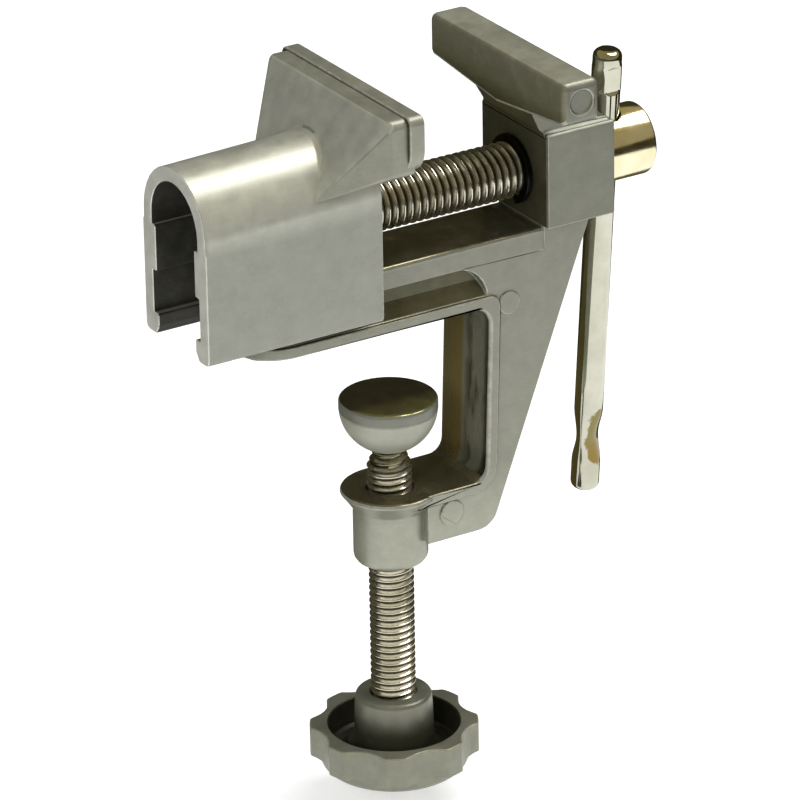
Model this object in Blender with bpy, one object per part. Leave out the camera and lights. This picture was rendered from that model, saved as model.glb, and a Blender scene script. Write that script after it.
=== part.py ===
# Clamp-on mini bench vise, modelled in metres with +Z up.
# The origin is the middle of the beam's underside, straight above the clamp screw.
# +X runs along the main spindle towards its cross bar, +Y is the far side.

import math

import bmesh
import bpy
from mathutils import Matrix, Vector

# Clearances shared by mating pieces
seat_gap = 0.0003
running_gap = 0.00025
overrun = 0.004
round_profile = 0.5

# Main spindle
spindle_diameter = 0.010
spindle_pitch = 0.0015
spindle_height = 0.0212
spindle_overhang = 0.0070
spindle_lean = math.radians(-5.3)
thread_depth_share = 0.6134
head_diameter = 0.0130
head_length = 0.0123
head_dome = 0.0010
head_bevel = 0.0004
ring_groove_depth = 0.0005
ring_thickness = 0.0009
ring_outer_diameter = 0.0124
ring_mouth_angle = math.radians(34)

# Cross bar
cross_bar_diameter = 0.00516
cross_bar_above = 0.0186
cross_bar_below = 0.0683
cross_bar_offset = 0.00405
cross_bar_tip = 0.0015
cross_bar_sides = 24
pinch_from_top = 0.0078
pinch_from_bottom = 0.0108
pinch_reach = 0.0019
pinch_squeeze = 0.0012
pinch_spread = 0.0005
top_pinch_turn = math.radians(-90)
bottom_pinch_turn = math.radians(-53)

# Beam that the moving jaw rides on
beam_left = -0.030
beam_end_radius = 0.0022
rail_set_back = 0.0004
rail_half = 0.0074
rail_top_share = 0.5755
rail_bottom_share = 0.3868
rail_edge = 0.0006
groove_half = 0.0053
groove_ramp_share = 0.2217
groove_end_x = 0.0095
groove_end_radius = 0.0065

# Web and rim of the C-shaped frame
web_half = 0.0073
rim_half = 0.00775
rim_width = 0.0021
rim_cover = 0.0005
throat = 0.0164
leg_draft = 0.0012
opening_height = 0.0326
upper_fillet = 0.0032
lower_fillet = 0.0028
arm_height = 0.0095
arm_web_end = 0.0033
heel_x = 0.0167
heel_radius = 0.0045
back_inset = 0.0026
leg_edge = 0.0004

# Fixed jaw block and bar
block_front = 0.0264
block_length = 0.0139
block_half = 0.01055
block_bottom = 0.0131
block_top = 0.0305
block_edge = 0.0003
block_rail_step = 0.0012
fixed_overhang = 0.0037
fixed_thickness = 0.0074
fixed_half = 0.0214
fixed_top = 0.0440
fixed_end_height = 0.0075
fixed_middle_height = 0.0098
fixed_edge = 0.0012
neck_half = 0.0094
neck_front_foot = 0.0294
neck_front_top = 0.0350
neck_back_top = 0.0415
neck_back_foot_inset = 0.0012
neck_inset = 0.0006

# Boss that holds the clamp screw
clamp_diameter = 0.0080
clamp_pitch = 0.00125
plate_radius = 0.00876
plate_thickness = 0.0012
plate_edge = 0.0004
boss_radius = 0.0066
boss_bottom = -0.0468
boss_fillet = 0.0018
plate_cove = 0.0025

# Round marks that the casting's ejector pins leave
mark_height = 0.0004
web_mark_radius = 0.0022
arm_mark_radius = 0.0024
end_dimple_radius = 0.0022
web_mark_x = 0.0203
web_mark_z = -0.0001
arm_mark_x = 0.0081
arm_mark_z = -0.0371
end_mark_z = 0.0403
end_mark_depth = 0.0004

# Moving jaw housing
housing_length = 0.0346
wall_set_back = 0.0023
jaw_base = 0.0038
wall_half = 0.01065
arch_half = 0.0103
arch_above_spindle = 0.0049
arch_rise = 0.0010
wall_step_drop = 0.0021
wall_step = 0.00035
wall_foot_radius = 0.0012
arch_bore = 0.0077
guide_half = 0.0065
guide_above_rail = 0.0033
rail_side_gap = 0.0004
lip_side_gap = 0.0009
lip_top_gap = 0.0005
lip_chamfer = 0.0011
lip_chamfer_top = 0.0054
thread_wall = 0.0102
rail_cover_gap = 0.0008

# Moving jaw plate and its gussets
jaw_opening = 0.0272
face_layer = 0.0029
back_layer = 0.0036
face_half = 0.0210
face_top = 0.0446
face_corner = 0.0015
face_bottom = 0.0338
face_bottom_corner = 0.0048
back_bottom_corner = 0.0012
layer_step = 0.0009
layer_drop = 0.0004
gusset_round = 0.0010
gusset_reach = 0.0156
gusset_foot_half = 0.0104
gusset_foot_above_arch = 0.0027

# Clamp pad
pad_top = -0.0154
pad_radius = 0.0087
pad_face_thickness = 0.0023
pad_face_edge = 0.0004
pad_plug_radius = 0.0050
pad_plug_length = 0.0010
bowl_rise = 0.0007
cup_neck_radius = 0.0031
cup_lip = 0.0003
ball_radius = 0.0031
ball_play = 0.0003
ball_neck_radius = 0.0021
neck_play = 0.0006
screw_top_gap = 0.0009
screw_tip_radius = 0.0026
taper_pitches = 1.6

# Knob
hub_rise = 0.0061
hub_radius = 0.0068
hub_foot_radius = 0.0087
hub_edge = 0.0005
knob_top = -0.0787
knob_height = 0.0083
knob_radius = 0.0132
knob_wall = 0.0014
knob_floor = 0.0029
knob_bottom_radius = 0.0108
knob_edge = 0.0005
lug_count = 8
lug_radius = 0.0150
lug_height = 0.0062
lug_edge = 0.0005
lug_tip_half_angle = math.radians(9.0)
lug_root_half_angle = math.radians(12.5)
lug_turn = math.radians(15.0)
screw_socket_depth = 0.0105

# Places worked out from the sizes above
spindle_radius = spindle_diameter / 2
head_radius = head_diameter / 2
clamp_radius = clamp_diameter / 2
cross_radius = cross_bar_diameter / 2
block_back = block_front + block_length
back_x = block_back - back_inset
fixed_front = block_front - fixed_overhang
fixed_back = fixed_front + fixed_thickness
face_x = fixed_front - jaw_opening
jaw_wall_end = face_x - wall_set_back
jaw_open_end = jaw_wall_end - housing_length
cavity_end = jaw_wall_end - thread_wall
spindle_left = cavity_end - spindle_overhang
gusset_foot_x = face_x - gusset_reach
head_left = block_back + seat_gap
rail_top = spindle_height * rail_top_share
rail_bottom = spindle_height * rail_bottom_share
groove_ramp_top = spindle_height * groove_ramp_share
arch_centre = spindle_height + arch_above_spindle
wall_step_z = arch_centre - wall_step_drop
guide_bottom = rail_top + guide_above_rail
pocket_half = rail_half + rail_side_gap
lip_half = groove_half + lip_side_gap
lip_foot_half = lip_half + lip_chamfer
lip_top = rail_bottom - lip_top_gap
gusset_foot_z = arch_centre + gusset_foot_above_arch
lip_end = groove_end_x - jaw_opening
cross_x = head_left + cross_bar_offset
arm_top = -opening_height
arm_bottom = arm_top - arm_height
ring_left = block_front - seat_gap - ring_thickness
ball_z = pad_top - pad_face_thickness - pad_plug_length - ball_play - ball_radius
cup_top = pad_top - pad_face_thickness - seat_gap
bowl_z = cup_top + bowl_rise
cup_bottom = bowl_z - math.sqrt(pad_radius ** 2 - cup_neck_radius ** 2)
screw_top = cup_bottom - screw_top_gap
hub_top = knob_top + hub_rise
knob_bottom = knob_top - knob_height
socket_bottom = hub_top - screw_socket_depth


def clear_scene():
    for obj in list(bpy.data.objects):
        bpy.data.objects.remove(obj, do_unlink=True)


def make_material(name, colour, roughness, metallic):
    mat = bpy.data.materials.new(name)
    mat.use_nodes = True
    shader = mat.node_tree.nodes["Principled BSDF"]
    shader.inputs["Base Color"].default_value = (*colour, 1.0)
    shader.inputs["Roughness"].default_value = roughness
    shader.inputs["Metallic"].default_value = metallic
    return mat


def to_object(name, bm):
    bmesh.ops.recalc_face_normals(bm, faces=bm.faces)
    mesh = bpy.data.meshes.new(name)
    bm.to_mesh(mesh)
    bm.free()
    obj = bpy.data.objects.new(name, mesh)
    bpy.context.scene.collection.objects.link(obj)
    return obj


def in_space(axis, u, v, along):
    if axis == "X":
        return Vector((along, u, v))
    if axis == "Y":
        return Vector((u, along, v))
    return Vector((u, v, along))


def corner_arc(before, corner, after, radius, steps):
    # Points of a fillet that touches both sides of a corner
    a = Vector(before) - Vector(corner)
    b = Vector(after) - Vector(corner)
    half = a.angle(b) / 2
    reach = radius / math.tan(half)
    centre = Vector(corner) + (a.normalized() + b.normalized()).normalized() * (radius / math.sin(half))
    start = Vector(corner) + a.normalized() * reach - centre
    end = Vector(corner) + b.normalized() * reach - centre
    turn = math.atan2(start.x * end.y - start.y * end.x, start.dot(end))
    points = []
    for i in range(steps + 1):
        t = turn * i / steps
        points.append(tuple(centre + start * math.cos(t) + start.orthogonal() * math.sin(t)))
    return points


def rounded_outline(corners, steps=4):
    # Each corner is (u, v, fillet radius)
    points = []
    count = len(corners)
    for i, (u, v, radius) in enumerate(corners):
        if radius <= 0:
            points.append((u, v))
            continue
        before = corners[i - 1][:2]
        after = corners[(i + 1) % count][:2]
        points += corner_arc(before, (u, v), after, radius, steps)
    return points


def polar(radius, angle):
    return (radius * math.cos(angle), radius * math.sin(angle))


def arc_points(centre, radius, start, end, steps):
    points = []
    for i in range(steps + 1):
        u, v = polar(radius, start + (end - start) * i / steps)
        points.append((centre[0] + u, centre[1] + v))
    return points


def mirrored(half):
    # Closes a half outline, drawn from bottom to top on the +u side, with its mirror image
    return half + [(-u, v) for u, v in reversed(half)]


def loft_mesh(outlines, axis, places):
    bm = bmesh.new()
    rings = []
    for outline, place in zip(outlines, places):
        rings.append([bm.verts.new(in_space(axis, u, v, place)) for u, v in outline])
    count = len(outlines[0])
    for low, high in zip(rings, rings[1:]):
        for i in range(count):
            j = (i + 1) % count
            bm.faces.new((low[i], low[j], high[j], high[i]))
    bm.faces.new(rings[0])
    bm.faces.new(rings[-1])
    return bm


def prism(name, outline, axis, low, high):
    return to_object(name, loft_mesh([outline, outline], axis, [low, high]))


def lathe_mesh(profile, segments):
    # Profile points are (radius, height) from the foot to the top, turned about Z
    bm = bmesh.new()
    rings = []
    for radius, height in profile:
        if radius == 0:
            rings.append([bm.verts.new((0, 0, height))])
            continue
        ring = []
        for i in range(segments):
            t = 2 * math.pi * i / segments
            ring.append(bm.verts.new((radius * math.cos(t), radius * math.sin(t), height)))
        rings.append(ring)
    for low, high in zip(rings, rings[1:]):
        for i in range(segments):
            j = (i + 1) % segments
            if len(low) == 1:
                bm.faces.new((low[0], high[j], high[i]))
            elif len(high) == 1:
                bm.faces.new((low[i], low[j], high[0]))
            else:
                bm.faces.new((low[i], low[j], high[j], high[i]))
    if len(rings[0]) > 1:
        bm.faces.new(rings[0])
    if len(rings[-1]) > 1:
        bm.faces.new(rings[-1])
    return bm


def lathe(name, profile, segments, axis="Z", place=(0, 0, 0)):
    bm = lathe_mesh(profile, segments)
    if axis == "X":
        bmesh.ops.rotate(bm, verts=bm.verts, matrix=Matrix.Rotation(math.pi / 2, 3, "Y"))
    if axis == "Y":
        bmesh.ops.rotate(bm, verts=bm.verts, matrix=Matrix.Rotation(-math.pi / 2, 3, "X"))
    bmesh.ops.translate(bm, verts=bm.verts, vec=Vector(place))
    return to_object(name, bm)


def bevel_edges(obj, width, segments, wanted):
    bm = bmesh.new()
    bm.from_mesh(obj.data)
    edges = [e for e in bm.edges if wanted(e)]
    bmesh.ops.bevel(bm, geom=edges, offset=width, offset_type="OFFSET", segments=segments,
                    profile=round_profile, affect="EDGES")
    bm.to_mesh(obj.data)
    bm.free()


def as_tool(obj):
    obj.hide_render = True
    obj.display_type = "WIRE"


def combine(target, tool, operation):
    as_tool(tool)
    mod = target.modifiers.new(tool.name, "BOOLEAN")
    mod.operation = operation
    mod.solver = "EXACT"
    mod.object = tool


def unite(target, *tools):
    for tool in tools:
        combine(target, tool, "UNION")


def cut(target, *tools):
    for tool in tools:
        combine(target, tool, "DIFFERENCE")


def finish(obj, mat, origin, parent=None, sharp=35):
    obj.data.transform(Matrix.Translation(-Vector(origin)))
    obj.location = Vector(origin)
    if parent:
        obj.parent = parent
        obj.location = Vector(origin) - parent.matrix_world.translation
    obj.data.materials.append(mat)
    obj.data.shade_smooth()
    obj.data.set_sharp_from_angle(angle=math.radians(sharp))


def joint_empty(name, origin, parent=None):
    empty = bpy.data.objects.new(name, None)
    bpy.context.scene.collection.objects.link(empty)
    empty.empty_display_size = clamp_diameter
    empty.location = Vector(origin)
    if parent:
        empty.parent = parent
        empty.location = Vector(origin) - parent.matrix_world.translation
    bpy.context.view_layer.update()
    return empty


def leg_x(z, inset=0.0):
    # Inner face of the leg, which leans inwards on its way down
    return throat - leg_draft * (-z / opening_height) + inset


def is_vertical(edge):
    a, b = edge.verts
    return (a.co.xy - b.co.xy).length < seat_gap / 10 and abs(a.co.z - b.co.z) > seat_gap / 10


def make_rim():
    # Flange under the beam, rim of the leg and rim of the lower arm in one band
    outline = rounded_outline([
        (beam_left, 0, 0),
        (leg_x(0), 0, upper_fillet),
        (leg_x(arm_top), arm_top, lower_fillet),
        (0, arm_top, 0),
        (0, arm_top - rim_width, 0),
        (leg_x(arm_top, rim_width), arm_top - rim_width, lower_fillet + rim_width),
        (leg_x(0, rim_width), rim_width, rim_width),
        (beam_left, rim_width, 0),
    ], 6)
    rim = prism("rim", outline, "Y", -rim_half, rim_half)
    left = beam_left + seat_gap
    bevel_edges(rim, beam_end_radius, 4, lambda e: is_vertical(e) and e.verts[0].co.x < left)
    return rim


def make_rail():
    # Top of the beam, with the long grooves that the moving jaw's lips hook into
    half = [
        (web_half, rim_width / 2),
        (web_half, rim_width),
        (groove_half, groove_ramp_top),
        (groove_half, rail_bottom),
        (rail_half, rail_bottom),
        (rail_half, rail_top - rail_edge),
        (rail_half - rail_edge, rail_top),
    ]
    rail_left = beam_left + rail_set_back
    rail = prism("rail", mirrored(half), "X", rail_left, block_front + block_rail_step)
    limit = rail_left + seat_gap

    def end_edge(e):
        at_side = abs(e.verts[0].co.y) > rail_half - seat_gap
        return is_vertical(e) and e.verts[0].co.x < limit and at_side

    bevel_edges(rail, beam_end_radius, 4, end_edge)
    return rail


def make_web():
    inside = (rail_top + rail_bottom) / 2
    arc = arc_points((groove_end_x, rail_bottom - groove_end_radius), groove_end_radius, math.pi / 2, 0, 6)
    deep = (block_bottom + block_top) / 2
    lower = rounded_outline([
        (leg_x(0, rim_cover), rim_width / 2, 0),
        (leg_x(arm_top, rim_cover), arm_top - rim_cover, 0),
        (arm_web_end, arm_top - rim_cover, 0),
        (arm_web_end, arm_bottom, 0),
        (heel_x, arm_bottom, heel_radius),
        (back_x, block_bottom, 0),
        (back_x, deep, 0),
        (block_front + block_rail_step, deep, 0),
        (block_front + block_rail_step, inside, 0),
        (groove_end_x, inside, 0),
    ], 6)
    web = prism("web", arc + lower, "Y", -web_half, web_half)

    def outer_edge(e):
        # Edges of the heel and of the sloping back
        a, b = sorted((v.co for v in e.verts), key=lambda co: co.z)
        flat = abs(a.y - b.y) < seat_gap / 10
        left = min(a.x, b.x)
        outside = left > arm_web_end + heel_radius and left > leg_x(a.z) + rim_width
        return flat and outside and b.z < block_bottom + seat_gap

    bevel_edges(web, leg_edge, 2, outer_edge)
    return web


def make_block():
    outline = [
        (block_front, -block_half),
        (block_back, -block_half),
        (block_back, block_half),
        (block_front, block_half),
    ]
    block = prism("block", outline, "Z", block_bottom, block_top)
    bevel_edges(block, block_edge, 2, lambda e: True)
    return block


def make_neck():
    # Sloped rib in front and hollow ramp behind, between the bar and its block
    ramp_foot = block_back - neck_back_foot_inset
    ramp = rounded_outline([
        (fixed_front + fixed_edge, neck_front_top, 0),
        (block_front + neck_inset, neck_front_foot, 0),
        (ramp_foot, neck_front_foot, 0),
        (ramp_foot, block_top + neck_inset, 0),
        (fixed_back + neck_inset, block_top + neck_inset, fixed_thickness),
        (fixed_back + neck_inset, neck_back_top, 0),
        (fixed_front + fixed_edge, neck_back_top, 0),
    ], 6)
    return prism("neck", ramp, "Y", -neck_half, neck_half)


def make_fixed_bar():
    outline = [
        (-fixed_half, fixed_top - fixed_end_height),
        (0, fixed_top - fixed_middle_height),
        (fixed_half, fixed_top - fixed_end_height),
        (fixed_half, fixed_top),
        (-fixed_half, fixed_top),
    ]
    bar = prism("jaw_bar", outline, "X", fixed_front, fixed_back)
    bevel_edges(bar, fixed_edge, 3, lambda e: min(abs(v.co.y) for v in e.verts) > seat_gap)
    return bar


def make_boss():
    fillet_centre = (boss_radius - boss_fillet, boss_bottom + boss_fillet)
    fillet = arc_points(fillet_centre, boss_fillet, -math.pi / 2, 0, 4)
    cove_top = arm_top - plate_thickness
    profile = [(0, boss_bottom)] + fillet + [
        (boss_radius, cove_top - plate_cove),
        (plate_radius - plate_edge, cove_top),
        (plate_radius, cove_top + plate_edge),
        (plate_radius, arm_top - plate_edge),
        (plate_radius - plate_edge, arm_top),
        (0, arm_top),
    ]
    return lathe("boss", profile, 40)


def make_mark(name, radius, x, z, low, high):
    return lathe(name, [(radius, low), (radius, high)], 20, "Y", (x, 0, z))


def make_frame(mat):
    frame = make_rim()
    frame.name = "frame_casting"
    near_face = -web_half - mark_height
    marks = [
        make_mark("web_mark", web_mark_radius, web_mark_x, web_mark_z, near_face, 0),
        make_mark("arm_mark", arm_mark_radius, arm_mark_x, arm_mark_z, near_face, 0),
    ]
    unite(frame, make_web(), make_rail(), make_block(), make_neck(), make_fixed_bar(), make_boss())
    unite(frame, *marks)
    bore = spindle_radius + running_gap
    clamp_bore = clamp_radius + running_gap
    spindle_bore = lathe("spindle_bore", [(bore, fixed_front - overrun), (bore, block_back + overrun)], 40,
                         "X", (0, 0, spindle_height))
    screw_bore = lathe("screw_bore", [(clamp_bore, boss_bottom - overrun), (clamp_bore, arm_top + overrun)],
                       32)
    end_dimple = make_mark("end_dimple", end_dimple_radius, (fixed_front + fixed_back) / 2, end_mark_z,
                           -fixed_half - overrun, -fixed_half + end_mark_depth)
    cut(frame, spindle_bore, screw_bore, end_dimple)
    finish(frame, mat, (0, 0, 0))
    return frame


def housing_outline(centre_z):
    arch = arc_points((0, centre_z), arch_half, 0, math.pi / 2, 9)[:-1]
    half = [
        (wall_half - wall_foot_radius, jaw_base),
        (wall_half - wall_foot_radius / 4, jaw_base + wall_foot_radius / 4),
        (wall_half, jaw_base + wall_foot_radius),
        (wall_half, wall_step_z),
        (wall_half - wall_step, wall_step_z + wall_step),
    ] + arch
    crest = [(0, centre_z + arch_half)]
    return half + crest + [(-u, v) for u, v in reversed(half)]


def cavity_outline():
    arch = arc_points((0, arch_centre), arch_bore, 0, math.pi / 2, 8)[:-1]
    half = [
        (lip_foot_half, jaw_base - overrun),
        (lip_foot_half, jaw_base),
        (lip_half, lip_chamfer_top),
        (lip_half, lip_top),
        (pocket_half, lip_top),
        (pocket_half, guide_bottom),
        (guide_half, guide_bottom),
        (guide_half, wall_step_z),
        (arch_bore, wall_step_z),
    ] + arch
    crest = [(0, arch_centre + arch_bore)]
    return half + crest + [(-u, v) for u, v in reversed(half)]


def tunnel_outline():
    # Way for the beam under the threaded wall, where no lips hook under the rail
    return mirrored([(pocket_half, jaw_base - overrun), (pocket_half, rail_top + rail_cover_gap)])


def plate_outline(bottom_corner, side_step, top_step):
    # Outline of one layer of the jaw plate, drawn in at its sides and at its top
    half = face_half - side_step
    top = face_top - top_step
    return mirrored(rounded_outline([
        (0, face_bottom, 0),
        (half, face_bottom, bottom_corner),
        (half, top, face_corner),
        (0, top, 0),
    ], 6)[1:-1])


def make_back_layer(split):
    # Back layer of the plate with its rounded edge, drawn together with the gussets' feet
    # that carry its load into the housing
    back = split - back_layer
    stations = [(split + face_layer / 2, 0.0)]
    stations += arc_points((back + gusset_round, gusset_round), gusset_round, -math.pi / 2, -math.pi, 3)
    bm = bmesh.new()
    for x, inset in stations:
        outline = plate_outline(back_bottom_corner, layer_step + inset, layer_drop + inset)
        for u, v in outline:
            bm.verts.new((x, u, v))
    for side in (-1, 1):
        bm.verts.new((gusset_foot_x, side * gusset_foot_half, gusset_foot_z))
    bmesh.ops.convex_hull(bm, input=bm.verts)
    inside = [v for v in bm.verts if not v.link_faces]
    bmesh.ops.delete(bm, geom=inside, context="VERTS")
    return to_object("back_layer", bm)


def make_moving_jaw(mat, parent):
    end_centre = arch_centre + arch_rise
    low = housing_outline(arch_centre)
    high = housing_outline(end_centre)
    jaw = to_object("moving_jaw", loft_mesh([low, high], "X", [jaw_open_end, jaw_wall_end]))
    split = face_x - face_layer
    face = prism("face_layer", plate_outline(face_bottom_corner, 0, 0), "X", split, face_x)
    unite(jaw, make_back_layer(split), face)
    cavity = prism("cavity", cavity_outline(), "X", jaw_open_end - overrun, cavity_end)
    tunnel = prism("tunnel", tunnel_outline(), "X", lip_end, jaw_wall_end + overrun)
    bore = spindle_radius + running_gap
    thread_bore = lathe("thread_bore", [(bore, cavity_end - overrun), (bore, jaw_wall_end + overrun)], 40,
                        "X", (0, 0, spindle_height))
    cut(jaw, cavity, tunnel, thread_bore)
    finish(jaw, mat, parent.matrix_world.translation, parent)
    return jaw


def make_spindle(mat, parent):
    head_right = head_left + head_length
    groove_left = ring_left - seat_gap / 2
    groove_right = ring_left + ring_thickness + seat_gap / 2
    groove_radius = spindle_radius - ring_groove_depth
    tip = spindle_pitch * thread_depth_share
    end_radius = head_radius - head_bevel
    profile = [
        (spindle_radius - tip, spindle_left),
        (spindle_radius, spindle_left + tip),
        (spindle_radius, groove_left),
        (groove_radius, groove_left),
        (groove_radius, groove_right),
        (spindle_radius, groove_right),
        (spindle_radius, head_left),
        (head_radius - head_bevel, head_left),
        (head_radius, head_left + head_bevel),
        (head_radius, head_right - head_dome - head_bevel),
    ]
    for share in (1.0, 0.75, 0.5, 0.25, 0.0):
        profile.append((end_radius * share, head_right - head_dome * share ** 2))
    spindle = lathe("main_spindle", profile, 40, "X", (0, 0, spindle_height))
    hole = cross_radius + running_gap
    cross = lathe("cross_hole", [(hole, -head_radius - overrun), (hole, head_radius + overrun)], 28)
    cross.rotation_euler = (-spindle_lean, 0, 0)
    cross.location = (cross_x, 0, spindle_height)
    cut(spindle, cross)
    finish(spindle, mat, parent.matrix_world.translation, parent)
    return spindle


def make_ring(mat, parent):
    # Open spring ring that stops the spindle sliding back out of the block
    inner = spindle_radius - ring_groove_depth + seat_gap
    outer = ring_outer_diameter / 2
    start = -math.pi / 2 + ring_mouth_angle / 2
    end = start + 2 * math.pi - ring_mouth_angle
    outline = arc_points((0, spindle_height), outer, start, end, 36)
    outline += arc_points((0, spindle_height), inner, end, start, 36)
    ring = prism("retaining_ring", outline, "X", ring_left, ring_left + ring_thickness)
    finish(ring, mat, parent.matrix_world.translation, parent)
    return ring


def pinched_circle(size, pinch, turn):
    # Circle squeezed along one direction and spread along the other
    thin = cross_radius * size - pinch_squeeze * pinch
    wide = cross_radius * size + pinch_spread * pinch
    points = []
    for k in range(cross_bar_sides):
        t = 2 * math.pi * k / cross_bar_sides - turn
        u = thin * math.cos(t)
        v = wide * math.sin(t)
        points.append(polar(math.hypot(u, v), math.atan2(v, u) + turn))
    return points


def make_cross_bar(mat, parent):
    # Round rod pinched near both ends, so that it can't fall out of the head
    tip_shares = ((0.0, 0.5), (0.25, 0.84), (1.0, 1.0))
    pinches = (
        (-cross_bar_below + pinch_from_bottom, bottom_pinch_turn),
        (cross_bar_above - pinch_from_top, top_pinch_turn),
    )
    places = []
    outlines = []
    for height, size in tip_shares:
        places.append(-cross_bar_below + cross_bar_tip * height)
        outlines.append(pinched_circle(size, 0, 0))
    for centre, turn in pinches:
        for share in (-1.0, -0.5, 0.0, 0.5, 1.0):
            places.append(centre + pinch_reach * share)
            outlines.append(pinched_circle(1, 1 - abs(share), turn))
    for height, size in reversed(tip_shares):
        places.append(cross_bar_above - cross_bar_tip * height)
        outlines.append(pinched_circle(size, 0, 0))
    bar = to_object("cross_bar", loft_mesh(outlines, "Z", places))
    bar.data.transform(Matrix.Rotation(-spindle_lean, 4, "X"))
    bar.data.transform(Matrix.Translation((cross_x, 0, spindle_height)))
    finish(bar, mat, parent.matrix_world.translation, parent)
    return bar


def make_pad_cup(mat, parent):
    # Round cup whose socket holds the ball of the clamp screw
    socket = ball_radius + ball_play
    neck = ball_neck_radius + neck_play
    low_angle = -math.acos(cup_neck_radius / pad_radius)
    high_angle = -math.asin((bowl_rise + cup_lip) / pad_radius)
    bowl = arc_points((0, bowl_z), pad_radius, low_angle, high_angle, 8)
    top = [(pad_radius - cup_lip * 2, cup_top), (0, cup_top)]
    cup = lathe("clamp_pad_cup", [(0, cup_bottom)] + bowl + top, 40)
    low = -math.acos(neck / socket)
    ball_hollow = arc_points((0, ball_z), socket, low, 0, 5)
    hollow = [(neck, cup_bottom - overrun)] + ball_hollow + [
        (socket, cup_top - pad_plug_length - seat_gap),
        (pad_plug_radius + seat_gap, cup_top - pad_plug_length - seat_gap),
        (pad_plug_radius + seat_gap, cup_top + overrun),
    ]
    cut(cup, lathe("socket", hollow, 32))
    finish(cup, mat, parent.matrix_world.translation, parent)
    return cup


def make_pad_face(mat, parent):
    bottom = pad_top - pad_face_thickness
    profile = [
        (pad_plug_radius, bottom - pad_plug_length),
        (pad_plug_radius, bottom),
        (pad_radius - pad_face_edge, bottom),
        (pad_radius, bottom + pad_face_edge),
        (pad_radius, pad_top - pad_face_edge),
        (pad_radius - pad_face_edge, pad_top),
    ]
    face = lathe("clamp_pad_face", profile, 40)
    finish(face, mat, parent.matrix_world.translation, parent)
    return face


def make_clamp_screw(mat, parent):
    neck_angle = math.acos(ball_neck_radius / ball_radius)
    ball = arc_points((0, ball_z), ball_radius, -neck_angle, math.pi / 2, 7)[:-1]
    profile = [
        (clamp_radius, socket_bottom + seat_gap),
        (clamp_radius, screw_top - clamp_pitch * taper_pitches),
        (screw_tip_radius, screw_top),
        (ball_neck_radius, screw_top),
    ] + ball + [(0, ball_z + ball_radius)]
    screw = lathe("clamp_screw", profile, 32)
    finish(screw, mat, parent.matrix_world.translation, parent)
    return screw


def make_knob(mat, parent):
    floor_z = knob_bottom + knob_floor
    foot = arc_points((0, 0), 1.0, 0, math.pi / 2, 4)
    body = [(0, knob_bottom)]
    drop = knob_height - lug_height
    for c, s in reversed(foot):
        radius = knob_bottom_radius + (knob_radius - knob_bottom_radius) * c
        body.append((radius, knob_bottom + drop - drop * s))
    body += [
        (knob_radius, knob_top - knob_edge),
        (knob_radius - knob_edge, knob_top),
        (knob_radius - knob_wall, knob_top),
        (knob_radius - knob_wall, floor_z + knob_edge),
        (knob_radius - knob_wall - knob_edge, floor_z),
        (hub_foot_radius, floor_z),
        (hub_radius, hub_top - hub_edge),
        (hub_radius - hub_edge, hub_top),
        (0, hub_top),
    ]
    knob = lathe("clamp_knob", body, 64)
    root = knob_radius - knob_wall / 2
    for i in range(lug_count):
        centre = lug_turn + 2 * math.pi * i / lug_count
        outline = [
            polar(root, centre - lug_root_half_angle),
            polar(lug_radius, centre - lug_tip_half_angle),
            polar(lug_radius, centre),
            polar(lug_radius, centre + lug_tip_half_angle),
            polar(root, centre + lug_root_half_angle),
        ]
        share = 1 - lug_edge / lug_radius
        drawn_in = [(u * share, v * share) for u, v in outline]
        low = knob_top - lug_height
        high = knob_top - knob_edge / 4
        places = [low, low + lug_edge, high - lug_edge, high]
        lug = to_object(f"lug_{i}", loft_mesh([drawn_in, outline, outline, drawn_in], "Z", places))
        unite(knob, lug)
    socket = clamp_radius + seat_gap
    cut(knob, lathe("screw_socket", [(socket, socket_bottom), (socket, hub_top + overrun)], 32))
    finish(knob, mat, parent.matrix_world.translation, parent)
    return knob


clear_scene()

cast_metal = make_material("cast_aluminium", (0.56, 0.56, 0.53), 0.42, 0.9)
plated_steel = make_material("plated_steel", (0.66, 0.63, 0.55), 0.22, 1.0)
dark_spring = make_material("black_spring_steel", (0.02, 0.02, 0.02), 0.5, 0.4)
pad_metal = make_material("grey_pad", (0.42, 0.43, 0.38), 0.38, 0.8)
knob_grey = make_material("grey_knob", (0.36, 0.36, 0.32), 0.42, 0.6)

frame_casting = make_frame(cast_metal)

jaw_slide = joint_empty("jaw_slide", (face_x, 0, spindle_height))
spindle_turn = joint_empty("spindle_turn", (head_left, 0, spindle_height))
cross_slide = joint_empty("cross_bar_slide", (cross_x, 0, spindle_height), spindle_turn)
clamp_slide = joint_empty("clamp_slide", (0, 0, pad_top))
clamp_turn = joint_empty("clamp_turn", (0, 0, ball_z), clamp_slide)

make_moving_jaw(cast_metal, jaw_slide)
make_spindle(plated_steel, spindle_turn)
make_ring(dark_spring, spindle_turn)
make_cross_bar(plated_steel, cross_slide)
make_pad_face(pad_metal, clamp_slide)
make_pad_cup(pad_metal, clamp_slide)
make_clamp_screw(plated_steel, clamp_turn)
make_knob(knob_grey, clamp_turn)

bpy.context.view_layer.update()
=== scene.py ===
import math

import bmesh
import bpy
from mathutils import Matrix, Vector


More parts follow.
